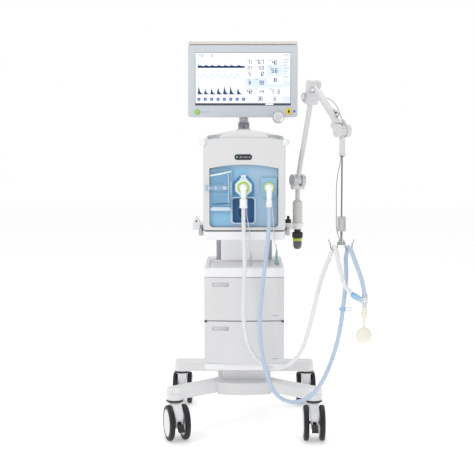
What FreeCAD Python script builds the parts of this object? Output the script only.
import FreeCAD, Part
import Sketcher
import math
import os

# Intensive-care ventilator on a castor trolley: base, cabinet, column, ventilation unit,
# display, hose arm and patient hoses.
# Frame: millimetres, +Z up, origin on the floor midway between the four castors. The front
# of the machine faces -Y, and the hose arm stands on the +X side.

Vector = FreeCAD.Vector
doc = FreeCAD.newDocument("Ventilator")
sheet = doc.addObject("Spreadsheet::Sheet", "Dims")
pieces = []     # (label, object) of everything exported
pockets = []    # (body label, feature), each of which must remove material


# --------------------------- sheet-driven quantities ------------------------

class Quantity:
    """A sheet-driven number: its present value and the formula behind it."""

    def __init__(self, value, text):
        self.value = float(value)
        self.text = text

    def __add__(self, other):
        return joined(self, "+", other, self.value + num(other))

    def __radd__(self, other):
        return joined(other, "+", self, num(other) + self.value)

    def __sub__(self, other):
        return joined(self, "-", other, self.value - num(other))

    def __rsub__(self, other):
        return joined(other, "-", self, num(other) - self.value)

    def __mul__(self, other):
        return joined(self, "*", other, self.value * num(other))

    def __rmul__(self, other):
        return joined(other, "*", self, num(other) * self.value)

    def __truediv__(self, other):
        return joined(self, "/", other, self.value / num(other))

    def __neg__(self):
        return Quantity(-self.value, "(0 - %s)" % self.text)


def joined(left, sign, right, value):
    return Quantity(value, "(%s %s %s)" % (formula(left), sign, formula(right)))


def num(value):
    return value.value if isinstance(value, Quantity) else float(value)


def formula(value):
    return value.text if isinstance(value, Quantity) else "(%.9f)" % float(value)


def cosine(angle):
    return Quantity(math.cos(math.radians(num(angle))), "cos(%s * 1 deg)" % formula(angle))


def sine(angle):
    return Quantity(math.sin(math.radians(num(angle))), "sin(%s * 1 deg)" % formula(angle))


row_count = 0


def dim(alias, value):
    """Write one driving dimension to the sheet."""
    global row_count
    row_count += 1
    cell = "B%d" % row_count
    sheet.set("A%d" % row_count, alias.replace("_", " "))
    sheet.set(cell, "%.9g" % value)
    sheet.setAlias(cell, alias)
    return Quantity(value, "Dims.%s" % alias)


def bind(obj, prop, value):
    if isinstance(value, Quantity):
        obj.setExpression(prop, value.text)


def drive(obj, **sizes):
    """Set size properties and bind the sheet-driven ones."""
    for prop, value in sizes.items():
        setattr(obj, prop, num(value))
        bind(obj, prop, value)


def turn(axis, degrees):
    return FreeCAD.Rotation(Vector(*axis), num(degrees))


def place(obj, at=(0, 0, 0), rotation=None):
    """Position bound to the sheet; the turn is a fixed rotation."""
    obj.Placement = FreeCAD.Placement(Vector(*[num(value) for value in at]),
                                      rotation or FreeCAD.Rotation())
    for axis, value in zip("xyz", at):
        bind(obj, "Placement.Base." + axis, value)


# ------------------------------- primitives ---------------------------------

# rotations that lay the +Z axis of a primitive along another direction
TO_RIGHT = turn((0, 1, 0), 90)      # +X
TO_LEFT = turn((0, 1, 0), -90)      # -X
TO_REAR = turn((1, 0, 0), -90)      # +Y
TO_FLOOR = turn((1, 0, 0), 180)     # -Z

name_count = 0


def name(stem):
    global name_count
    name_count += 1
    return "%s_%d" % (stem, name_count)


def block(left, right, front, back, low, high):
    """Box between two limits on each axis."""
    obj = doc.addObject("Part::Box", name("block"))
    drive(obj, Length=right - left, Width=back - front, Height=high - low)
    place(obj, (left, front, low))
    return obj


def rod(radius, length, at, rotation=None):
    obj = doc.addObject("Part::Cylinder", name("round"))
    drive(obj, Radius=radius, Height=length)
    place(obj, at, rotation)
    return obj


def taper(start_radius, end_radius, length, at, rotation=None):
    obj = doc.addObject("Part::Cone", name("taper"))
    drive(obj, Radius1=start_radius, Radius2=end_radius, Height=length)
    place(obj, at, rotation)
    return obj


def ball(radius, at):
    obj = doc.addObject("Part::Sphere", name("ball"))
    drive(obj, Radius=radius)
    place(obj, at)
    return obj


def fuse(parts):
    obj = doc.addObject("Part::MultiFuse", name("union"))
    obj.Shapes = parts
    obj.Refine = True
    return obj


def cut(base, tool):
    obj = doc.addObject("Part::Cut", name("cut"))
    obj.Base = base
    obj.Tool = tool
    obj.Refine = True
    return obj


def group(parts, stem):
    """Several separate solids that belong to one piece."""
    obj = doc.addObject("Part::Compound", name(stem))
    obj.Links = parts
    return obj


def piece(label, obj):
    obj.Label = label
    pieces.append((label, obj))


def sweep(wire, start, tangent, radius, frenet, stem):
    """Closed round solid swept along a wire."""
    disc = Part.Wire([Part.makeCircle(radius, start, tangent)])
    solid = wire.makePipeShell([disc], True, frenet)
    # a sweep can come back as an open or inside-out shell
    if not solid.isValid() or solid.Volume <= 0:
        solid = Part.makeSolid(solid)
    obj = doc.addObject("Part::Feature", name(stem))
    obj.Shape = solid
    return obj


def spline_tube(points, radius, stem):
    path_points = [Vector(*point) for point in points]
    curve = Part.BSplineCurve()
    curve.interpolate(path_points)
    tangent = curve.tangent(curve.FirstParameter)[0]
    return sweep(Part.Wire([curve.toShape()]), path_points[0], tangent, radius, True, stem)


def chain_tube(edges, radius, stem):
    """Tube along a chain of tangent lines and arcs."""
    first = edges[0]
    begin = first.FirstParameter
    return sweep(Part.Wire(edges), first.valueAt(begin), first.tangentAt(begin), radius, False,
                 stem)


# ------------------------------ edge selectors ------------------------------

def limits(edge, axis):
    box = edge.BoundBox
    return getattr(box, axis.upper() + "Min"), getattr(box, axis.upper() + "Max")


def along(axis):
    """Straight edges parallel to one axis."""
    def test(edge):
        chord = edge.Vertexes[-1].Point - edge.Vertexes[0].Point
        if chord.Length < 1e-6 or edge.Curve.TypeId != "Part::GeomLine":
            return False
        return abs(abs(getattr(chord, axis)) - chord.Length) < 1e-3
    return test


def at_level(axis, *levels):
    """Edges that lie wholly in one of the planes."""
    def test(edge):
        low, high = limits(edge, axis)
        return any(abs(low - num(level)) < 1e-2 and abs(high - num(level)) < 1e-2
                   for level in levels)
    return test


def starts_below(axis, limit):
    return lambda edge: limits(edge, axis)[0] < num(limit)


def centred(axis, low, high):
    """Edges whose middle lies in a range."""
    return lambda edge: low <= getattr(edge.BoundBox.Center, axis) <= high


def edge_numbers(shape, tests):
    """Numbers of the edges, from 1, that pass every test."""
    return [i + 1 for i, edge in enumerate(shape.Edges)
            if edge.Vertexes and all(test(edge) for test in tests)]


def rounded(obj, radius, *tests):
    """Part fillet on the edges the tests pick out."""
    doc.recompute()
    fillet = doc.addObject("Part::Fillet", name("rounded"))
    fillet.Base = obj
    fillet.Edges = [(i, num(radius), num(radius)) for i in edge_numbers(obj.Shape, tests)]
    return fillet


# ------------------------------ sketch outlines -----------------------------

def circle(x, y, radius):
    return ("circle", x, y, radius)


def path(*points, bows=()):
    """Closed outline of points (x, y[, corner radius]).

    bows maps an edge number to the height of its arc, positive to the right of the edge.
    """
    return ("path", points, bows)


def rect(left, right, low, high, radius=None):
    corner = () if radius is None else (radius,)
    return path(*[point + corner for point in (
        (left, low), (right, low), (right, high), (left, high))])


def shrunk(gap, left, right, low, high, *radius):
    """Rectangle that fits inside the given one with a gap all round."""
    return rect(left + gap, right - gap, low + gap, high - gap, *[r - gap for r in radius])


def corner_ends(corner, neighbours):
    """Where a corner arc meets its two sides, which run along the sketch axes."""
    x, y, radius = corner
    ends = []
    for other in neighbours:
        step_x = num(other[0]) - num(x)
        step_y = num(other[1]) - num(y)
        if abs(step_x) > abs(step_y):
            ends.append((x + (radius if step_x > 0 else -radius), y))
        else:
            ends.append((x, y + (radius if step_y > 0 else -radius)))
    return ends


def corner_middle(corner, start, end):
    """Middle point of a corner arc."""
    x, y, radius = [num(value) for value in corner]
    centre_x = num(start[0]) + num(end[0]) - x
    centre_y = num(start[1]) + num(end[1]) - y
    scale = radius / math.hypot(x - centre_x, y - centre_y)
    return (centre_x + (x - centre_x) * scale, centre_y + (y - centre_y) * scale)


def bow_arc(start, end, height):
    """Middle point and radius of an arc over a chord that runs along a sketch axis."""
    start_x, start_y, end_x, end_y = [num(value) for value in (*start[:2], *end[:2])]
    run_x, run_y = end_x - start_x, end_y - start_y
    length = math.hypot(run_x, run_y)
    middle = ((start_x + end_x) / 2 + run_y / length * num(height),
              (start_y + end_y) / 2 - run_x / length * num(height))
    chord = end[0] - start[0] if abs(run_x) > abs(run_y) else end[1] - start[1]
    if num(chord) <= 0:
        chord = -chord
    if num(height) <= 0:
        height = -height
    return middle, (chord * chord / 4.0 + height * height) / (height * 2.0)


def segments(points, bows):
    """Lines and arcs of a path as (start, end, arc middle, arc radius)."""
    total = len(points)
    ends = {i: corner_ends(point, (points[i - 1], points[(i + 1) % total]))
            for i, point in enumerate(points) if len(point) > 2}
    found = []
    for i, point in enumerate(points):
        following = (i + 1) % total
        start = ends[i][1] if i in ends else point
        end = ends[following][0] if following in ends else points[following]
        if i in ends:
            found.append((*ends[i], corner_middle(point, *ends[i]), point[2]))
        if i in bows:
            found.append((start, end, *bow_arc(start, end, bows[i])))
        else:
            found.append((start, end, None, None))
    return found


# ---------------------------- sketch-based bodies ---------------------------

class Body:
    """PartDesign body with sketches on its own origin planes.

    XY sketches read (x, y) and face +Z; XZ sketches read (x, z) and face -Y, so their
    offset counts toward the front; YZ sketches read (y, z) and face +X. A pad grows the
    way its sketch faces and a pocket cuts the other way; rev flips either.
    """

    def __init__(self, label, at=(0, 0, 0), rotation=None, keep=True):
        self.label = label
        self.body = doc.addObject("PartDesign::Body", name(label))
        self.body.Label = label
        place(self.body, at, rotation)
        if keep:
            pieces.append((label, self.body))

    def add(self, kind, suffix):
        self.last = self.body.newObject("PartDesign::" + kind, name(self.label + suffix))
        return self.last

    def sketch(self, plane, offset, loop):
        sketch = self.body.newObject("Sketcher::SketchObject", name(self.label + "_sk"))
        support = [feature for feature in self.body.Origin.OriginFeatures
                   if feature.Role == plane + "_Plane"][0]
        sketch.AttachmentSupport = [(support, "")]
        sketch.MapMode = "FlatFace"
        sketch.AttachmentOffset = FreeCAD.Placement(Vector(0, 0, num(offset)),
                                                    FreeCAD.Rotation())
        bind(sketch, "AttachmentOffset.Base.z", offset)
        if loop[0] == "circle":
            self.draw_circle(sketch, *loop[1:])
        else:
            self.draw_path(sketch, *loop[1:])
        self.last_sketch = sketch
        return sketch

    def constrain(self, sketch, value, *arguments):
        """Add a sized constraint and bind it to the sheet."""
        index = sketch.addConstraint(Sketcher.Constraint(*arguments, num(value)))
        bind(sketch, "Constraints[%d]" % index, value)

    def pin(self, sketch, shape, point, x, y):
        """Fix a point of the geometry relative to the sketch origin."""
        for kind, value, axis_line in (("DistanceX", x, -2), ("DistanceY", y, -1)):
            if abs(num(value)) < 1e-9 and not isinstance(value, Quantity):
                sketch.addConstraint(
                    Sketcher.Constraint("PointOnObject", shape, point, axis_line))
            else:
                self.constrain(sketch, value, kind, -1, 1, shape, point)

    def draw_circle(self, sketch, x, y, radius):
        shape = sketch.addGeometry(
            Part.Circle(Vector(num(x), num(y), 0), Vector(0, 0, 1), num(radius)), False)
        self.pin(sketch, shape, 3, x, y)
        self.constrain(sketch, radius, "Radius", shape)

    def draw_path(self, sketch, points, bows):
        sides = segments(points, bows)
        drawn = []      # (geometry, start point number, end point number)
        for start, end, middle, _ in sides:
            first = Vector(num(start[0]), num(start[1]), 0)
            final = Vector(num(end[0]), num(end[1]), 0)
            if middle is None:
                curve = Part.LineSegment(first, final)
            else:
                curve = Part.Arc(first, Vector(*middle, 0), final)
            shape = sketch.addGeometry(curve, False)
            # the sketch may store an arc end for end
            stored = sketch.getPoint(shape, 1)
            offset = Vector(stored.x, stored.y, 0) - first
            begin = 1 if offset.Length < 1e-5 else 2
            drawn.append((shape, begin, 3 - begin))
        for i, (shape, _, finish) in enumerate(drawn):
            following, begin, _ = drawn[(i + 1) % len(drawn)]
            sketch.addConstraint(
                Sketcher.Constraint("Coincident", shape, finish, following, begin))
        for (shape, begin, _), (start, _, middle, radius) in zip(drawn, sides):
            self.pin(sketch, shape, begin, start[0], start[1])
            if middle is not None:
                self.constrain(sketch, radius, "Radius", shape)

    def pad(self, plane, offset, loop, length, mid=False, rev=False):
        sketch = self.sketch(plane, offset, loop)
        feature = self.add("Pad", "_pad")
        feature.Profile = sketch
        drive(feature, Length=length)
        if mid:
            feature.SideType = "Symmetric"
        feature.Reversed = rev

    def pocket(self, plane, offset, loop, length=None, mid=False, rev=False):
        """Pocket of a given depth, or through everything without one."""
        sketch = self.sketch(plane, offset, loop)
        feature = self.add("Pocket", "_pocket")
        feature.Profile = sketch
        if length is None:
            feature.Type = "ThroughAll"
        else:
            drive(feature, Length=length)
        if mid:
            feature.SideType = "Symmetric"
        feature.Reversed = rev
        pockets.append((self.label, feature))

    def revolve(self, *points, axis="V_Axis"):
        """Full turn of an XZ outline about a sketch axis."""
        sketch = self.sketch("XZ", 0, path(*points))
        feature = self.add("Revolution", "_rev")
        feature.Profile = sketch
        feature.ReferenceAxis = (sketch, [axis])
        feature.Angle = 360.0

    def polar(self, total):
        """Repeat the last feature about the normal of its sketch."""
        original = self.last
        feature = self.add("PolarPattern", "_polar")
        feature.Originals = [original]
        feature.Axis = (self.last_sketch, ["N_Axis"])
        feature.Angle = 360.0
        feature.Occurrences = total
        self.body.Tip = feature

    def dress(self, kind, suffix, prop, size, tests):
        doc.recompute()
        base = self.last
        numbers = edge_numbers(base.Shape, tests)
        if not numbers:
            raise RuntimeError("no edges for a %s on %s" % (kind.lower(), self.label))
        feature = self.add(kind, suffix)
        feature.Base = (base, ["Edge%d" % i for i in numbers])
        drive(feature, **{prop: size})

    def fillet(self, radius, *tests):
        self.dress("Fillet", "_round", "Radius", radius, tests)

    def chamfer(self, size, *tests):
        self.dress("Chamfer", "_bevel", "Size", size, tests)


# ------------------------------- dimensions ---------------------------------

# castors
castor_x = dim("castor_half_track", 246)
castor_y = dim("castor_half_base", 245)
trail = dim("castor_trail", 30)
wheel_r = dim("castor_wheel_radius", 62.5)
wheel_w = dim("castor_wheel_width", 21)
wheel_gap = dim("castor_inner_gap", 36)
axle_r = dim("castor_axle_radius", 6)
fork_w = dim("castor_fork_width", 33)
stem_r = dim("castor_stem_radius", 7.95)
clearance = dim("running_clearance", 0.05)
castor_front_turn = dim("front_left_castor_turn", 17)
pedal_w = dim("castor_pedal_width", 22)
pedal_pin_r = dim("castor_pedal_pin_radius", 3)

# base
base_low = dim("base_underside", 141)
base_top = dim("base_topside", 181)
beam_half = dim("rear_beam_half_length", 273)
hub_half = dim("hub_half_width", 98)
nose_bow = dim("nose_cover_bow", 19)

# pedestal and cabinet
neck_half_w = dim("pedestal_half_width", 80)
neck_half_d = dim("pedestal_half_depth", 112)
foot_low = dim("foot_underside", 230)
cab_low = dim("cabinet_bottom", 256)
cab_mid = dim("cabinet_split", 411)
shelf_low = dim("shelf_underside", 569)
shelf_top = dim("shelf_top", 602)
shelf_recess = dim("shelf_recess_depth", 6)
shelf_bow = dim("shelf_front_bow", 9)
cab_half_w = dim("cabinet_half_width", 142.5)
cab_back = dim("cabinet_back", 200)
cab_front = dim("cabinet_front_face", 187)
cover_bow = dim("cover_front_bow", 12)
wall = dim("shell_wall", 3)

# column
post_out = dim("post_outer_half", 105)
post_in = dim("post_inner_half", 88)
post_front = dim("post_front", 60)
post_back = dim("post_rear", 130)
tray_low = dim("tray_underside", 701)
tray_top = dim("tray_top", 731)
unit_low = dim("unit_bottom", 735)

# ventilation unit
unit_half = dim("unit_half_width", 145)
unit_front = dim("unit_front", 200)
frame_back = dim("frame_rear_face", 160)
unit_rear = dim("unit_rear", 150)
brow_side = dim("frame_top_at_side", 1054)
brow_rise = dim("frame_top_rise", 10)
dome_side = dim("dome_side_height", 1057)
dome_rise = dim("dome_rise", 32)
panel_left = dim("panel_left", -122.5)
panel_right = dim("panel_right", 119.5)
panel_low = dim("panel_bottom", 746.5)
panel_top = dim("panel_side_top", 953.5)
panel_rise = dim("panel_top_rise", 14)
panel_front = dim("panel_front", 182)
panel_back = dim("panel_back", 150)
fit_gap = dim("assembly_gap", 0.5)
port_z = dim("port_height", 886.5)
exp_x = dim("expiratory_port_x", -3)
insp_x = dim("inspiratory_port_x", 87)
port_bore = dim("port_bore_radius", 12.05)
stub_r = dim("elbow_stub_radius", 12)
elbow_y = dim("elbow_drop_plane", 215)
sensor_y = dim("sensor_axis_depth", 177)
sensor_r = dim("sensor_radius", 14)
handle_r = dim("handle_radius", 13)
handle_x = dim("handle_axis_x", 146)
handle_z = dim("handle_axis_z", 1045)

# display
disp_left = dim("display_left", -204)
disp_right = dim("display_right", 193)
disp_low = dim("display_bottom", 1135)
disp_top = dim("display_top", 1408)
disp_front = dim("display_front", 55)
bezel_depth = dim("bezel_depth", 13)
disp_back = dim("display_rear", 16)
bar_height = dim("light_bar_height", 11.5)
neck_x = dim("neck_axis_x", -2)
neck_y = dim("neck_axis_y", 40)
tilt_z = dim("tilt_axis_height", 1215)
tilt_pin_r = dim("tilt_pin_radius", 8)
dial_x = dim("dial_knob_x", 123.6)
dial_z = dim("dial_knob_z", 1134.5)
dial_r = dim("dial_knob_radius", 19.5)

# rails and arm
rail_in = dim("rail_inner_x", 152)
rail_t = dim("rail_thickness", 10)
rail_low = dim("rail_underside", 712)
rail_h = dim("rail_height", 25)
arm_x = dim("arm_axis_x", 195)
arm_y = dim("arm_axis_y", -50)
arm_turn = dim("arm_azimuth", -65.8)
sleeve_r = dim("arm_sleeve_radius", 17.5)
post_r = dim("arm_post_radius", 8.5)
shoulder_z = dim("arm_joint_one_height", 906)
lower_length = dim("lower_link_length", 362.2)
lower_rise = dim("lower_link_elevation", 70.77)
upper_length = dim("upper_link_length", 265.8)
upper_rise = dim("upper_link_elevation", -37.55)
pin_r = dim("arm_pin_radius", 5)
eye_w = dim("arm_eye_width", 19)
ear_gap = dim("arm_ear_gap", 20)
ear_w = dim("arm_ear_span", 48)
ear_r = dim("arm_ear_radius", 22.2)
cradle_dx = dim("cradle_offset", 25)
cradle_r = dim("cradle_radius", 10.2)

# soft parts
hose_r = dim("hose_radius", 7.5)
line_r = dim("sense_line_radius", 1.5)
lung_half_height = dim("test_lung_half_height", 28)

doc.recompute()

# --------------------------------- castors ----------------------------------

# outlines as (y, z), seen from the side; the swivel axis is y = 0
fork_side = [(-24, 131), (-66, 98), (-72, 84), (-69, 66), (-62, 50), (-46, 44), (-30, 44),
             (-14, 50), (6, 84), (24, 131)]
pedal_arm = [(-59, 69), (-76, 67), (-90, 58), (-87, 50), (-74, 56), (-59, 55.5)]
pedal_plate = [(-76, 67), (-84, 66), (-105, 50), (-105, 44), (-100, 43), (-82, 54)]
# wheel clearance in the fork, (x, z) on the +X side
fork_relief = [(17, 116), (16.5, 112), (10.6, 62), (10.6, 40), (17, 40)]
pedal_pin = (-59, 62)


def castor_fork(label, at, spin):
    fork = Body(label, at, spin)
    fork.pad("YZ", 0, path(*fork_side), fork_w, mid=True)
    fork.fillet(3, along("x"), centred("y", -1e4, 0), centred("z", 80, 100))
    for side in (1, -1):
        fork.pocket("XZ", 0, path(*[(side * x, z) for x, z in fork_relief]), 200, mid=True)
    # swivel collar and stem
    fork.revolve((0, 124), (22, 126), (26, 131), (29, 131), (31, 133), (31, 137), (29, 139),
                 (stem_r, 139), (stem_r, 172), (0, 172))
    # axle
    fork.pad("YZ", 0, circle(-trail, wheel_r, axle_r), wheel_gap + 30, mid=True)
    # pedal slot and its pin
    fork.pocket("YZ", 0, rect(-90, -48.5, 40, 75), 12.4, mid=True)
    fork.pad("YZ", 0, circle(*pedal_pin, pedal_pin_r), 20, mid=True)


def castor_wheel(label, side):
    """One wheel as (x, radius) about the axle; side is +1 or -1 along X."""
    inner = wheel_gap / 2
    outer = inner + wheel_w
    profile = [(inner, axle_r + clearance), (inner + 16, axle_r + clearance),
               (inner + 16, 0), (outer + 2.5, 0), (outer + 0.5, 26), (outer - 2, 48),
               (outer - 1, 50), (outer - 2.5, wheel_r - 3), (outer - 6, wheel_r),
               (inner + 5, wheel_r), (inner + 1, wheel_r - 4), (inner + 0.5, 48),
               (inner + 3, 44), (inner + 3, 16), (inner, 13)]
    wheel = Body(label, keep=False)
    wheel.revolve(*[(side * x, radius) for x, radius in profile], axis="H_Axis")
    return wheel.body


def castor_pedal(label, at, spin):
    pedal = Body(label, at, spin)
    pedal.pad("YZ", 0, circle(*pedal_pin, 7.5), 12, mid=True)
    pedal.pad("YZ", 0, path(*pedal_arm), 12, mid=True)
    pedal.pad("YZ", 0, path(*pedal_plate), pedal_w, mid=True)
    pedal.pocket("YZ", 0, circle(*pedal_pin, pedal_pin_r + clearance), mid=True)


for tag, side_x, side_y, yaw in (("fl", -1, -1, castor_front_turn), ("fr", 1, -1, 0),
                                 ("rl", -1, 1, 180), ("rr", 1, 1, 180)):
    prefix = "castor_%s_" % tag
    swivel = (castor_x * side_x, castor_y * side_y, 0)
    spin = turn((0, 0, 1), yaw)
    castor_fork(prefix + "fork", swivel, spin)
    wheels = group([castor_wheel(prefix + "wheel_a", 1), castor_wheel(prefix + "wheel_b", -1)],
                   "wheel_pair")
    place(wheels, (swivel[0] + trail * sine(yaw), swivel[1] - trail * cosine(yaw), wheel_r),
          spin)
    piece(prefix + "wheels", wheels)
    castor_pedal(prefix + "pedal", swivel, spin)

# ---------------------------------- base ------------------------------------

# Plan view (x, y): the front tip, then the right half from the front round to the rear.
base_tip = (0, -140)
base_shoulder = (73, -128.5)
base_right = [base_shoulder, (229, -262), (268, -262), (276, -250), (272, -225),
              (117, -81.5), (100, -60), (100, 196), (120, 212), (262, 212), (beam_half, 224),
              (beam_half, 268), (262, 279)]
boss_low = 139.3


def base_corner(edge):
    """Corners of the legs and beam, and the front inner corners by the hub."""
    start = edge.Vertexes[0].Point
    return abs(start.x) > 105 or (abs(start.x) > 99 and start.y < 0)


base = Body("base_frame")
base.pad("XY", base_low, path(base_tip, *base_right,
                              *[(-x, y) for x, y in reversed(base_right)]),
         base_top - base_low)
base.fillet(9, along("z"), base_corner)
base.fillet(8, at_level("z", base_top))
castor_seats = [(castor_x * side_x, castor_y * side_y)
                for side_x in (-1, 1) for side_y in (-1, 1)]
for x, y in castor_seats:
    base.pad("XY", boss_low, circle(x, y, 29), 20)
for x, y in castor_seats:
    base.pocket("XY", boss_low, circle(x, y, stem_r + clearance), 35, rev=True)

nose_low, nose_top = 133, 179
nose_front = -151.2
nose = Body("base_nose_cover")
nose.pad("XY", nose_low, path((-72, -129), (-hub_half, nose_front), (hub_half, nose_front),
                              (72, -129), bows={1: nose_bow}), nose_top - nose_low)
nose.fillet(9, at_level("z", nose_top, nose_low), starts_below("y", -160))
# seat on the front tip of the base
seat_x, seat_y = base_shoulder
nose.pocket("XY", base_low, path((-seat_x, -100), (-seat_x, seat_y), base_tip,
                                 base_shoulder, (seat_x, -100)), 60, rev=True)

pedestal = Body("pedestal")
pedestal.pad("XY", base_top, rect(-neck_half_w, neck_half_w, -neck_half_d, neck_half_d, 22),
             foot_low - base_top)
pedestal.pad("XY", foot_low, rect(-cab_half_w, cab_half_w, -190, cab_back - 4, 20),
             cab_low - foot_low)
pedestal.fillet(7, at_level("z", foot_low))

# --------------------------------- cabinet ----------------------------------

cells = (("cover_lower", cab_low, cab_mid), ("cover_upper", cab_mid, shelf_low))
cell_wall = 7
back_wall = 6

shell = Body("cabinet_shell")
shell.pad("XY", cab_low, rect(-cab_half_w, cab_half_w, -cab_front, cab_back, 8),
          shelf_low - cab_low)
for _, low, high in cells:
    shell.pocket("XZ", cab_front, rect(-cab_half_w + cell_wall, cab_half_w - cell_wall,
                                       low + cell_wall, high - cell_wall, 8),
                 cab_front + cab_back - back_wall)
# slots in the back wall
for i in range(7):
    slot_low = cab_low + 60 + i * 16
    shell.pocket("XZ", -cab_back, rect(-90, 90, slot_low, slot_low + 8, 3), 5, rev=True)


def cabinet_cover(label, low, high):
    """Bowed front cover of one cell."""
    face = cab_front + 4
    bottom = low + 1.5
    top = high - 1.5
    cover = Body(label)
    cover.pad("XY", bottom, path(
        (-cab_half_w, -face), (cab_half_w, -face), (cab_half_w, -cab_front - 0.3),
        (-cab_half_w, -cab_front - 0.3), bows={0: cover_bow}), top - bottom)
    cover.fillet(2.5, at_level("z", bottom, top), starts_below("y", -cab_front - 8))
    # finger pull near the upper left corner
    cover.pocket("XZ", face, rect(-114, -54, high - 35, high - 20, 5), 14, rev=True)
    # locating spigots that push into the open cell behind
    for x in (-118, 118):
        for z in (low + 30, high - 30):
            cover.pad("XZ", cab_front + 0.3, circle(x, z, 5), 26, rev=True)


for cell in cells:
    cabinet_cover(*cell)

shelf = Body("cabinet_top")
shelf.pad("XY", shelf_low, path(
    (-cab_half_w, -192), (cab_half_w, -192), (cab_half_w, cab_back, 12),
    (-cab_half_w, cab_back, 12), bows={0: shelf_bow}), shelf_top - shelf_low)
shelf.fillet(6, at_level("z", shelf_top), starts_below("y", 190))
shelf.pocket("XY", shelf_top, rect(-128, 128, -178, 52, 14), shelf_recess)

# ---------------------------------- column ----------------------------------

posts = [rounded(block(left, right, post_front, post_back, shelf_top, tray_low), 4, along("z"))
         for left, right in ((-post_out, -post_in), (post_in, post_out))]
piece("column_posts", group(posts, "posts"))

column = Body("column_cover")
column.pad("XY", shelf_top, rect(-post_in + 0.3, post_in - 0.3, 50, 138, 6),
           tray_low - shelf_top)
# two upright grooves in the front face
for x in (-30, 30):
    column.pocket("XY", shelf_top, rect(x - 1, x + 1, 49, 52), rev=True)

# ----------------------------- ventilation unit -----------------------------

tray = Body("unit_tray")
tray.pad("XY", tray_low, rect(-unit_half, unit_half, -unit_front, unit_rear, 16),
         tray_top - tray_low)
tray.fillet(4, at_level("z", tray_low))
tray.pad("XY", tray_top, rect(-unit_half + 5, unit_half - 5, -unit_front + 6, unit_rear - 6,
                              12), unit_low - tray_top)

window_back = 197.4
window_recess = (-34.5, 27.5, 984, 1004, 9)     # left, right, low, high, corner radius

frame = Body("front_frame")
frame.pad("XZ", frame_back, path(
    (-unit_half, unit_low, 12), (unit_half, unit_low, 12), (unit_half, brow_side),
    (-unit_half, brow_side), bows={2: brow_rise}), unit_front - frame_back)
frame.fillet(5, at_level("y", -unit_front))
# opening for the front panel
frame.pocket("XZ", frame_back, path(
    (panel_left - fit_gap, panel_low - fit_gap, 14),
    (panel_right + fit_gap, panel_low - fit_gap, 14),
    (panel_right + fit_gap, panel_top + fit_gap), (panel_left - fit_gap, panel_top + fit_gap),
    bows={2: panel_rise}), rev=True)
frame.pocket("XZ", window_back, rect(*window_recess), 10, rev=True)
for side in (-1, 1):
    frame.pocket("XZ", frame_back - 1, circle(handle_x * side, handle_z, handle_r), 60,
                 rev=True)
# the flow sensor passes through the left side
frame.pocket("YZ", -unit_half - 1, circle(-sensor_y, port_z, sensor_r + 1.2), 30, rev=True)


def housing_outline(inset, shoulder_low, shoulder_high):
    """Housing section, drawn in by an inset; it narrows between the shoulder heights."""
    wide = 143 - inset
    narrow = 126 - inset
    low = unit_low + inset
    top = brow_side - 1 - inset
    corner = 12 - inset
    return path((-wide, low, corner), (wide, low, corner), (wide, shoulder_low),
                (narrow, shoulder_high), (narrow, top), (-narrow, top),
                (-narrow, shoulder_high), (-wide, shoulder_low), bows={4: brow_rise - 1})


housing_depth = unit_rear + frame_back
housing = Body("rear_housing")
housing.pad("XZ", -unit_rear, housing_outline(0, 1012, 1028), housing_depth)
housing.pocket("XZ", frame_back, housing_outline(wall, 1010.7, 1026.7), housing_depth - 4)
# rear ventilation slots
for i in range(8):
    slot_low = 900 + i * 13.0
    housing.pocket("XZ", -unit_rear, rect(-100, -10, slot_low, slot_low + 6, 2.5), 5, rev=True)
# two gas inlet stubs, each on a collar
for x in (40, 85):
    housing.pad("XZ", -unit_rear, circle(x, 800, 12), 4, rev=True)
    housing.pad("XZ", -unit_rear - 4, circle(x, 800, 7.14), 18, rev=True)

notches = ((-132, -86), (82, 138))      # left and right limits of the brow notches
dome_front = 196
neck_seat_z = 1087

dome = Body("top_cover")
dome.pad("XZ", -unit_rear, path(
    (-unit_half, dome_side), (-unit_half, brow_side), (unit_half, brow_side),
    (unit_half, dome_side), bows={1: -brow_rise, 3: dome_rise}), unit_rear + dome_front)
dome.chamfer(14, at_level("y", -dome_front), lambda edge: edge.BoundBox.ZMax > 1070)
for side in (-1, 1):
    dome.pocket("XZ", -unit_rear - 1, circle(handle_x * side, handle_z, handle_r), 400,
                rev=True)
dome.pocket("XY", neck_seat_z, circle(neck_x, neck_y, 28), 20, rev=True)
for left, right in notches:
    dome.pocket("XZ", 200, rect(left, right, brow_side + 8, 1090), 14)

# Slatted intake grilles fill the two notches; their tops slope with the dome.
grilles = []
grille_tops = ((1068.4, 1077.6), (1078.4, 1066.6))      # heights at the left and right ends
grille_low = brow_side + 8.2
for i in range(2):
    left, right = notches[i][0] + 0.4, notches[i][1] - 0.4
    top_left, top_right = grille_tops[i]
    grille = Body("grille_%d" % (i + 1), keep=False)
    grille.pad("XZ", 186.2, path((left, grille_low), (right, grille_low), (right, top_right),
                                 (left, top_left)), 8)
    for k in range(3):
        slot_low = grille_low + 1.6 + k * 2.6
        grille.pocket("XZ", 196, rect(left + 2, right - 2, slot_low, slot_low + 1.3), 5)
    grilles.append(grille.body)
piece("vent_grilles", group(grilles, "grilles"))

# Round-ended side handles, each with a mounting block toward the rear.
handle_start = -unit_front + 1
handle_end = 119
handles = []
for side, left, right in ((-1, -152, -143), (1, 143, 152)):
    x = handle_x * side
    handles.append(fuse([
        rod(handle_r, handle_end - handle_start, (x, handle_start, handle_z), TO_REAR),
        ball(handle_r, (x, handle_start, handle_z)),
        ball(handle_r, (x, handle_end, handle_z)),
        block(left, right, 96, 120, 985, handle_z)]))
piece("side_handles", group(handles, "handles"))

socket_r = 22
plug_r = 21.8
hinge = (-190, 946)     # (y, z) of the flap hinge axis

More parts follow.
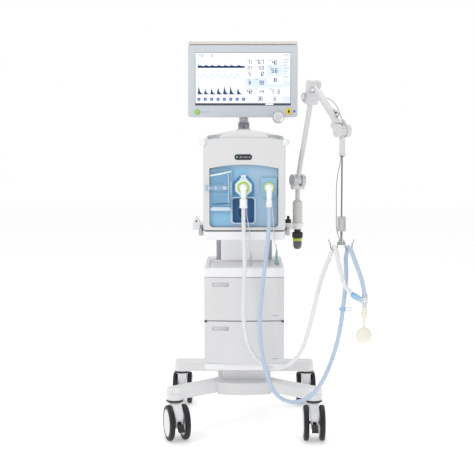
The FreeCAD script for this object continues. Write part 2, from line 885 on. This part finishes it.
panel = Body("front_panel")
panel.pad("XZ", panel_back, path(
    (panel_left, panel_low, 14), (panel_right, panel_low, 14), (panel_right, panel_top),
    (panel_left, panel_top), bows={2: panel_rise}), panel_front - panel_back)
panel.fillet(3, at_level("y", -panel_front), starts_below("z", 800))
# raised surround and recess for the expiratory hose
panel.pad("XZ", panel_front, rect(-48, 41, 757, 853, 12), 3)
panel.pocket("XZ", panel_front + 3, rect(-41, 34.5, 762, 848, 9), 18)
panel.pocket("XZ", panel_front - 15, rect(-19, 10, 778, 846, 9), 4)
# channel for the flow sensor, open to the left edge
panel.pocket("XZ", panel_front, rect(panel_left - 1, -40, port_z - 18, port_z + 18), 19)
# sockets for the two port inserts
for port_x in (exp_x, insp_x):
    panel.pocket("XZ", panel_front, circle(port_x, port_z, socket_r), 24)
# hinge lugs and pins for the flap: x limits of the lug, then of the pin
for lug_left, lug_right, pin_left, pin_right in ((-121.6, -119.4, -119.4, -113),
                                                 (-46.6, -44.4, -53, -46.6)):
    panel.pad("YZ", lug_left, rect(-193.6, -panel_front + 1, 942.4, 949.6, 3.4),
              lug_right - lug_left)
    panel.pad("YZ", pin_left, circle(*hinge, 1.4), pin_right - pin_left)

window = Body("status_window")
window.pad("XZ", window_back, shrunk(0.2, *window_recess), 3.4)

# Expiratory valve: an octagonal flange with a tab above and stepped rings in front.
flange_back = panel_front + 3.2
flange_r = 32.5 / math.cos(math.radians(22.5))
octagon = []
for k in range(8):
    angle = math.radians(22.5 + 45 * k)
    octagon.append((exp_x + flange_r * math.cos(angle), port_z + flange_r * math.sin(angle)))

valve = Body("expiratory_valve")
valve.pad("XZ", flange_back, path(*octagon), 6)
valve.pad("XZ", flange_back, rect(exp_x - 9, exp_x + 9, port_z + 28, port_z + 45, 3), 4)
valve.pad("XZ", panel_front + 9.2, circle(exp_x, port_z, 27.5), 2)
valve.pad("XZ", panel_front + 11.2, circle(exp_x, port_z, 21), 4)
valve.fillet(1.2, at_level("y", -panel_front - 15.2))
valve.pad("XZ", flange_back, circle(exp_x, port_z, plug_r), 23, rev=True)
valve.pocket("XZ", 204, circle(exp_x, port_z, port_bore), 28)

port = Body("inspiratory_port")
port.pad("XZ", panel_front, path(
    (insp_x - 16, 850), (insp_x + 16, 850), (insp_x + 29, 862), (insp_x + 29, 921, 7),
    (insp_x - 29, 921, 7), (insp_x - 29, 862)), 10)
port.fillet(2.5, at_level("y", -panel_front - 10))
port.pad("XZ", panel_front + 10, circle(insp_x, port_z, 19), 5)
port.fillet(1.2, at_level("y", -panel_front - 15))
port.pad("XZ", panel_front, circle(insp_x, port_z, plug_r), 20, rev=True)
port.pocket("XZ", 204, circle(insp_x, port_z, port_bore), 28)


def elbow(label, x, cuff_r, cuff_low, cuff_top):
    """Quarter-turn connector: stub into the port, bulb, tapered neck and hose cuff."""
    neck_top = port_z - 4
    body = fuse([
        rod(stub_r, 38, (x, -elbow_y, port_z), TO_REAR),
        ball(14.2, (x, -elbow_y, port_z)),
        taper(11.5, 8.8, neck_top - cuff_top + 0.5, (x, -elbow_y, neck_top), TO_FLOOR),
        rod(cuff_r, cuff_top - cuff_low, (x, -elbow_y, cuff_low)),
        rod(cuff_r + 0.9, 5, (x, -elbow_y, cuff_low + 2))])
    bore = rod(hose_r + 1.2, 13, (x, -elbow_y, cuff_low - 1))
    piece(label, cut(body, bore))


elbow("exp_elbow", exp_x, cuff_r=13.6, cuff_low=815.5, cuff_top=847)
elbow("insp_elbow", insp_x, cuff_r=10.6, cuff_low=818.5, cuff_top=844)

flap = Body("sensor_flap")
flap.pad("XZ", 194, rect(-121.5, -44.5, 804, 951, 7), 3)
flap.pad("XZ", 197, rect(-115, -51, 805.5, 818, 4), 4)
flap.fillet(1.6, at_level("y", -201))
# side ribs behind the flap
for low, high in ((812, 864), (909, 934)):
    flap.pad("YZ", -48, rect(-194, -185.2, low, high), 2.5)
# hinge barrel, joined to the flap and bored for the pins
flap.pad("YZ", -119, circle(*hinge, 3.2), 71.8)
flap.pad("YZ", -119, rect(-194.5, -190, 943.6, 948.4), 71.8)
flap.pocket("YZ", -130, circle(*hinge, 1.45), rev=True)

sensor = fuse([rod(sensor_r, 96, (-139, -sensor_y, port_z), TO_RIGHT),
               rod(sensor_r - 2.5, 3, (-142, -sensor_y, port_z), TO_RIGHT)])
piece("flow_sensor", cut(sensor, rod(9, 92, (-143, -sensor_y, port_z), TO_RIGHT)))

# ---------------------------- rails and holders -----------------------------

rail_out = rail_in + rail_t
rails = []
# limits of the bar and of its two standoffs
for left, right, standoff_left, standoff_right in (
        (-rail_out, -rail_in, -rail_in, -unit_half), (rail_in, rail_out, unit_half, rail_in)):
    parts = [block(left, right, -150, 130, rail_low, rail_low + rail_h)]
    for y in (-128, 88):
        parts.append(block(standoff_left, standoff_right, y, y + 24, rail_low + 4,
                           rail_low + 16))
    rails.append(fuse(parts))
piece("side_rails", group(rails, "rails"))

# both holders grip the rail in a slot with 0.2 play all round
play = 0.2
slot_in = rail_in - play
slot_out = rail_out + play
slot_height = (rail_low - play, rail_low + rail_h + play)

bracket = Body("rail_bracket")
bracket.pad("XZ", 45, path((-148, 707), (-148, 752), (-161, 755), (-172, 775), (-176, 775),
                           (-187, 752), (-187, 728), (-168, 728), (-168, 707)), 50)
bracket.pocket("XZ", 44, rect(-slot_out, -slot_in, *slot_height), 52, rev=True)

screw = (161, -50)      # (x, y) of the clamp knob
clamp = Body("rail_clamp")
clamp.pad("XZ", 25, path((148, 707), (167, 707), (167, 729), (179, 729), (179, 751),
                         (148, 751)), 50)
clamp.fillet(2, along("y"), centred("z", 745, 1e4))
clamp.pocket("XZ", 24, rect(slot_in, slot_out, *slot_height), 52, rev=True)
# collar round the arm sleeve
clamp.pad("XY", 739.3, circle(arm_x, arm_y, 22), 11)
clamp.pocket("XY", 728, circle(arm_x, arm_y, sleeve_r), 40, rev=True)
clamp.pocket("XY", 741, circle(*screw, 3.05), 20, rev=True)

clamp_knob = Body("clamp_knob", (*screw, 0))
clamp_knob.revolve((0, 742), (3, 742), (3, 751.3), (10, 751.3), (10.8, 753), (10.8, 762),
                   (9.5, 763.6), (5, 764.5), (5, 775), (4, 776), (0, 776))

# --------------------------------- display ----------------------------------

barrel = Body("neck_barrel", (neck_x, neck_y, 0))
barrel.revolve((0, neck_seat_z), (27.8, neck_seat_z), (27.8, 1090), (25, 1093.5),
               (20.5, 1095), (21.4, 1106), (20.2, 1118), (port_bore, 1118),
               (port_bore, 1095), (0, 1095))

neck = Body("neck_tube", (neck_x, neck_y, 0))
neck.revolve((0, 1096), (stub_r, 1096), (stub_r, 1118.3), (16.8, 1118.3), (16.8, 1205),
             (0, 1205))
neck.pad("YZ", 0, circle(0, tilt_z, 20), 56, mid=True)
neck.pocket("YZ", 0, circle(0, tilt_z, tilt_pin_r + clearance), mid=True)

bezel_back = disp_front - bezel_depth
bezel_top = disp_top - bar_height
# openings in the bezel: left, right, low, high[, corner radius]
screen_hole = (-177.5, 167.2, 1178.4, 1366.6)
button_hole = (151.4, 171.2, 1146, 1167, 4)
power_at = (-170.5, 1154)

back = Body("display_back")
back.pad("XZ", disp_back, rect(disp_left + 1, disp_right - 1, disp_low + 1, bezel_top, 9),
         bezel_back - disp_back)
back.fillet(7, at_level("y", -disp_back))
back.pad("XZ", bezel_back - 6, circle(dial_x, dial_z, 20), 6)
back.pad("XZ", 4, rect(neck_x - 88, neck_x + 88, 1168, 1300, 10), disp_back - 4 + 2)
# two cheeks either side of the neck, joined by the tilt pin
for left in (neck_x - 36.4, neck_x + 28.4):
    back.pad("YZ", left, path(
        (-6, 1192), (neck_y, 1195), (neck_y + 18, tilt_z - 8), (neck_y + 18, tilt_z + 8),
        (neck_y, 1235), (-6, 1250)), 8)
back.pad("YZ", neck_x - 34, circle(neck_y, tilt_z, tilt_pin_r), 68)

bezel = Body("display_bezel")
bezel.pad("XZ", bezel_back, rect(disp_left, disp_right, disp_low, bezel_top, 9), bezel_depth)
bezel.fillet(2.5, at_level("y", -disp_front), starts_below("z", 1390))
bezel.pad("XZ", bezel_back, circle(dial_x, dial_z, 21.5), bezel_depth - 1)
for opening in (rect(*screen_hole), circle(*power_at, 9.3), rect(*button_hole),
                circle(dial_x, dial_z, 3.05)):
    bezel.pocket("XZ", bezel_back, opening, rev=True)

screen = Body("screen_panel")
screen.pad("XZ", bezel_back, shrunk(0.4, *screen_hole), 11.2)

light_bar = Body("alarm_light_bar")
light_bar.pad("XZ", disp_back, rect(disp_left, disp_right, bezel_top, disp_top, 5),
              disp_front - disp_back)
light_bar.fillet(2, at_level("y", -disp_front))

# the dial and power button are turned shapes whose own +Z points to the front
TO_FRONT = turn((1, 0, 0), 90)

dial = Body("dial_knob", (dial_x, -disp_front, dial_z), TO_FRONT)
dial.revolve((0, -11), (3, -11), (3, 0.3), (dial_r - 1.5, 0.3), (dial_r, 2),
             (dial_r - 0.6, 20), (dial_r - 3.5, 24), (dial_r - 5.5, 23), (0, 22.4))
dial.pocket("XY", 0.3, circle(dial_r + 1, 0, 2), 19, rev=True)
dial.polar(18)

power = Body("power_button", (power_at[0], -disp_front, power_at[1]), TO_FRONT)
power.revolve((0, -8), (9, -8), (9, 2.2), (8, 3.4), (0, 3.8))

alarm = Body("alarm_button")
alarm.pad("XZ", disp_front - 8, shrunk(0.3, *button_hole), 11)
alarm.fillet(1.2, at_level("y", -disp_front - 3))

# ----------------------------------- arm ------------------------------------

sleeve = Body("arm_sleeve", (arm_x, arm_y, 0))
sleeve.revolve(
    (0, 653), (9, 655), (14, 661), (16, 670), (16, 685), (17, 686), (17, 693), (15, 695.5),
    (6, 695.5), (6, 718.5), (12, 718.5), (12, 728), (16.4, 728), (16.4, 739), (sleeve_r, 739),
    (sleeve_r, 829), (post_r + clearance, 829), (post_r + clearance, 744), (0, 744))

tension = Body("tension_knob", (arm_x, arm_y, 0))
tension.revolve((6.05, 696), (17.5, 696), (19.7, 698.5), (19.7, 713), (17, 717), (6.05, 718))
tension.pocket("XY", 696, circle(21.5, 0, 2.8), 30, rev=True)
tension.polar(14)

# In the arm's own frame +X points outward along the arm.
arm_yaw = turn((0, 0, 1), arm_turn)

post = Body("arm_post", (arm_x, arm_y, 0), arm_yaw)
post.revolve((0, 746), (post_r, 746), (post_r, 829.3), (13.5, 829.3), (13.5, 833),
             (post_r, 835), (post_r, 878), (0, 878))
post.pad("XY", 874, rect(-12, 12, -ear_w / 2, ear_w / 2, 4), 12)
for offset in (ear_gap / 2, -(ear_w / 2)):
    post.pad("XZ", offset, circle(0, shoulder_z, ear_r), (ear_w - ear_gap) / 2)
post.pad("XZ", 0, circle(0, shoulder_z, pin_r), ear_w, mid=True)


def link_end(start, length, rise):
    """Joint at the far end of a link."""
    return (start[0] + length * cosine(rise) * cosine(arm_turn),
            start[1] + length * cosine(rise) * sine(arm_turn),
            start[2] + length * sine(rise))


shoulder = (arm_x, arm_y, shoulder_z)
knuckle = link_end(shoulder, lower_length, lower_rise)
tip = link_end(knuckle, upper_length, upper_rise)


def link(label, at, rise, length, eye_r, tube_r, neck_length, yoke_start, yoke_end,
         yoke_half_height, yoke_w, disc_r):
    """Bar with an eye at its first joint and a forked pair of discs at the next one.

    yoke_start and yoke_end are distances back from the second joint.
    """
    part = Body(label, at, arm_yaw.multiply(turn((0, 1, 0), -num(rise))))
    neck_start = eye_r - 5
    tube_start = neck_start + neck_length - 1
    ear_thickness = (yoke_w - ear_gap) / 2
    part.pad("XZ", 0, circle(0, 0, eye_r), eye_w, mid=True)
    part.pad("YZ", neck_start, circle(0, 0, 8.4), neck_length)
    part.pad("YZ", tube_start, circle(0, 0, tube_r), length - yoke_start - tube_start + 1)
    part.pad("XY", -yoke_half_height, rect(length - yoke_start, length - yoke_end,
                                           -yoke_w / 2, yoke_w / 2, 4), yoke_half_height * 2)
    for offset in (ear_gap / 2, -(yoke_w / 2)):
        part.pad("XZ", offset, rect(length - yoke_end - 3, length, -yoke_half_height * 0.75,
                                    yoke_half_height * 0.75), ear_thickness)
        part.pad("XZ", offset, circle(length, 0, disc_r), ear_thickness)
    part.pad("XZ", 0, circle(length, 0, pin_r), yoke_w, mid=True)
    part.pocket("XZ", 0, circle(0, 0, pin_r + clearance), eye_w + 4, mid=True)
    return part


lower = link("lower_link", shoulder, lower_rise, lower_length, eye_r=16.0, tube_r=9.0,
             neck_length=20.0, yoke_start=70.0, yoke_end=26.0, yoke_half_height=12.0,
             yoke_w=ear_w - 2, disc_r=16.0)
# friction knob on the knuckle, and the cable hook beyond it
lower.pad("XZ", -(ear_w / 2) - 8, circle(lower_length - 49, 0, 10), 10)
lower.pad("XZ", ear_w / 2 - 3, circle(lower_length - 49, 0, 4), 9)
lower.pad("XY", 0, path(
    (lower_length - 62, -ear_w / 2 - 3), (lower_length - 62, -ear_w / 2 - 8),
    (lower_length - 30, -ear_w / 2 - 8), (lower_length - 30, -ear_w / 2 - 3)), 5, mid=True)

upper = link("upper_link", knuckle, upper_rise, upper_length, eye_r=15.0, tube_r=11.5,
             neck_length=34.0, yoke_start=46.0, yoke_end=28.0, yoke_half_height=13.0,
             yoke_w=ear_w, disc_r=ear_r)
# cable guide saddle on top of the bar
upper.pad("XZ", 0, rect(upper_length - 86, upper_length - 62, 8, 17, 3), 8, mid=True)

drop = Body("drop_tube", tip, arm_yaw)
drop.pad("XZ", 0, circle(0, 0, 17), eye_w, mid=True)
drop.pad("XY", -84, circle(0, 0, 9.4), 74)
drop.pad("XY", -84, circle(0, 0, 10.4), 8)
drop.pocket("XZ", 0, circle(0, 0, pin_r + clearance), eye_w + 4, mid=True)
drop.pocket("XY", -85, circle(0, 0, 4.05), 29, rev=True)

# Hanging rod, lever clamp and the two hose cradles
tip_x, tip_y, tip_z = tip
rod_x, rod_y = num(tip_x), num(tip_y)
wire_r = 1.9
bend_r = num(cradle_r) + wire_r     # centreline radius of a cradle's bottom
cradle_z = 694.0                    # height of that bend's centre
flare_z = 702.0                     # height where the straight sides end
flare_r = 9.0


def cradle_wire(centre_x):
    """Round-bottomed wire cradle with curled ends, in the XZ plane through the rod."""
    def arc(x, z, radius, start, end):
        angles = [math.radians(angle) for angle in (start, (start + end) / 2, end)]
        return Part.Arc(*[Vector(centre_x + x + radius * math.cos(angle), rod_y,
                                 z + radius * math.sin(angle)) for angle in angles]).toShape()

    def side_line(x, start, end):
        return Part.makeLine(Vector(centre_x + x, rod_y, start),
                             Vector(centre_x + x, rod_y, end))

    # centres of the outward and the returning flare
    low_x = bend_r + flare_r
    shift = 2 * flare_r * math.cos(math.pi / 4)
    high_x, high_z = low_x - shift, flare_z + shift
    return chain_tube([
        arc(-high_x, high_z, flare_r, 160, 225), arc(-low_x, flare_z, flare_r, 45, 0),
        side_line(-bend_r, flare_z, cradle_z),
        arc(0, cradle_z, bend_r, 180, 360),
        side_line(bend_r, cradle_z, flare_z),
        arc(low_x, flare_z, flare_r, 180, 135), arc(high_x, high_z, flare_r, -45, 20)],
        wire_r, "cradle_wire")


hanger = [
    rod(4, 29.7, (tip_x, tip_y, tip_z - 86)),
    rod(8, 3.2, (tip_x, tip_y, tip_z - 87.4)),
    rod(2.6, tip_z - 87 - 790, (tip_x, tip_y, 790)),
    block(tip_x - 14, tip_x + 14, tip_y - 9, tip_y + 9, 746, 796),
    block(tip_x - 5, tip_x + 5, tip_y - 17, tip_y - 8, 752, 791),
    rod(4, 46, (tip_x, tip_y, 702)),
    rod(9, 10, (tip_x, tip_y, 699))]
for side, direction in ((-1, TO_LEFT), (1, TO_RIGHT)):
    hanger.append(cradle_wire(rod_x + side * num(cradle_dx)))
    hanger.append(rod(2.2, num(cradle_dx) - bend_r, (rod_x, rod_y, 703), direction))
piece("hanger_rod", fuse(hanger))

# -------------------------------- soft parts --------------------------------


def shifted(rows, x_shift, y_shift=0):
    return [(x + x_shift, y + y_shift, z) for x, y, z in rows]


hose_radius = num(hose_r)
exp_port_x, insp_port_x = num(exp_x), num(insp_x)
drop_y = -num(elbow_y)
left_cradle = rod_x - num(cradle_dx)
right_cradle = rod_x + num(cradle_dx)
saddle_z = cradle_z - num(cradle_r) + hose_radius + 0.3     # hose axis resting in a cradle

# Hose centrelines (x, y, z): out of the elbow, down and round, up through a cradle, to the
# wye. Rows near a port or cradle are measured from it.
exp_points = shifted([(0, 0, 826.5), (0, 0, 800), (1, -6, 740)], exp_port_x, drop_y) + [
    (1, -244, 660), (0, -268, 560), (-2, -284, 470), (2, -294, 400), (18, -300, 338),
    (44, -302, 295), (78, -303, 268), (116, -304, 262), (152, -305, 274), (184, -307, 304),
    (210, -312, 356), (230, -318, 430), (246, -324, 500), (262, -326, 570), (283, -325, 630),
] + shifted([
    (-8, -328, 668), (-1.5, -337, 688), (0, rod_y, saddle_z), (3, -367, 688), (8, -381, 668),
    (16, -390, 628), (27, -388, 588), (40, -379, 556), (58, -372, 538)], left_cradle)
insp_points = shifted([(0, 0, 829.5), (0, 0, 805), (-1, -12, 745)], insp_port_x, drop_y) \
    + shifted([
        (-9, -256, 660), (-20, -286, 580), (-29, -306, 500), (-33, -318, 430),
        (-29, -326, 350), (-17, -330, 280), (0, -332, 222), (24, -333, 178), (58, -334, 155),
        (96, -335, 151), (136, -336, 168), (170, -338, 204), (200, -342, 262),
        (224, -346, 332), (240, -348, 400), (250, -346, 470), (258, -342, 540),
        (262, -336, 610)], insp_port_x) \
    + shifted([
        (-6, -330, 660), (-1, -337, 687), (0, rod_y, saddle_z), (4, -366, 687),
        (13, -381, 664), (33, -388, 610), (52, -377, 556), (54.5, -372, 527)], right_cradle)
piece("exp_hose", spline_tube(exp_points, hose_radius, "exp_hose"))
piece("insp_hose", spline_tube(insp_points, hose_radius, "insp_hose"))

# Wye connector where the two hoses meet, with the patient-side stem below. Its left branch
# leans from the vertical.
wye_x, wye_y, wye_z = right_cradle + 54.5, -372.0, 506
lean = 59
branch_turn = turn((0, 1, 0), -lean)


def on_branch(distance):
    return (wye_x - distance * math.sin(math.radians(lean)), wye_y,
            wye_z + distance * math.cos(math.radians(lean)))


wye = fuse([
    ball(11, (wye_x, wye_y, wye_z)), rod(10, 24, (wye_x, wye_y, 508)),
    rod(8, 28, (wye_x, wye_y, 480)), rod(9.2, 4, (wye_x, wye_y, 487)),
    rod(9.6, 52, on_branch(0), branch_turn), rod(10.4, 16, on_branch(27), branch_turn)])
wye_bores = fuse([rod(hose_radius + 1.1, 20, (wye_x, wye_y, 520)),
                  rod(hose_radius + 0.3, 40, on_branch(38.0), branch_turn)])
piece("y_piece", cut(wye, wye_bores))

# Test lung: cuff, thin neck and a flattened bag
bag = doc.addObject("Part::Ellipsoid", name("bag"))
drive(bag, Radius1=lung_half_height, Radius2=26.5, Radius3=20)
bag.Angle1 = -90
bag.Angle2 = 90
bag.Angle3 = 360
place(bag, (wye_x - 2, wye_y, 392))
piece("test_lung", fuse([rod(10.4, 22, (wye_x, wye_y, 458)),
                         taper(10.4, 4, 8, (wye_x, wye_y, 458), TO_FLOOR),
                         rod(3.6, 60, (wye_x - 1, wye_y, 400)), bag]))

# Two sensing lines from the hose cuffs to plugs that stand in the shelf recess
plug_z = shelf_top - shelf_recess
exp_line = spline_tube([
    (exp_port_x + 11, drop_y, 815.3), (exp_port_x + 12, drop_y - 3, 790),
    (18, drop_y - 8, 740), (21, drop_y - 3, 694), (22, -176, 662), (24, -110, 650),
    (25, -72, 640), (25, -70, 628)], num(line_r), "line")
exp_plug = taper(5.5, 3.2, 38, (25, -70, plug_z))
insp_line = spline_tube([
    (insp_port_x + 10.2, drop_y, 818.3), (insp_port_x + 13, drop_y - 3, 790),
    (103, drop_y - 8, 745), (108, drop_y - 1, 694), (112, -170, 676), (117, -90, 670),
    (119, -42, 662), (119, -40, 645)], num(line_r), "line")
insp_plug = taper(7.5, 2.4, 54, (119, -40, plug_z))
piece("sensor_lines", group([fuse([exp_line, exp_plug]), fuse([insp_line, insp_plug])],
                            "lines"))

# ------------------------------ checks, export ------------------------------

doc.recompute()
problems = []
for label, feature in pockets:
    before = feature.BaseFeature
    if before is not None and not feature.Shape.isNull():
        if feature.Shape.Volume > before.Shape.Volume - 1e-3:
            problems.append("%s: %s removes nothing" % (label, feature.Name))
for obj in doc.Objects:
    if "Invalid" in obj.State or "Error" in obj.State:
        problems.append("%s (%s): %s" % (obj.Label, obj.TypeId, obj.State))
for label, obj in pieces:
    if obj.Shape.isNull():
        problems.append(label + ": empty shape")
    elif not obj.Shape.isValid():
        problems.append(label + ": invalid shape")
    elif not obj.Shape.Solids:
        problems.append(label + ": no solid")
    elif obj.Label != label:
        problems.append(label + ": label is " + obj.Label)
if problems:
    raise RuntimeError("; ".join(problems))

os.makedirs("parts", exist_ok=True)
for label, obj in pieces:
    obj.Shape.exportStep("parts/%s.step" % label)
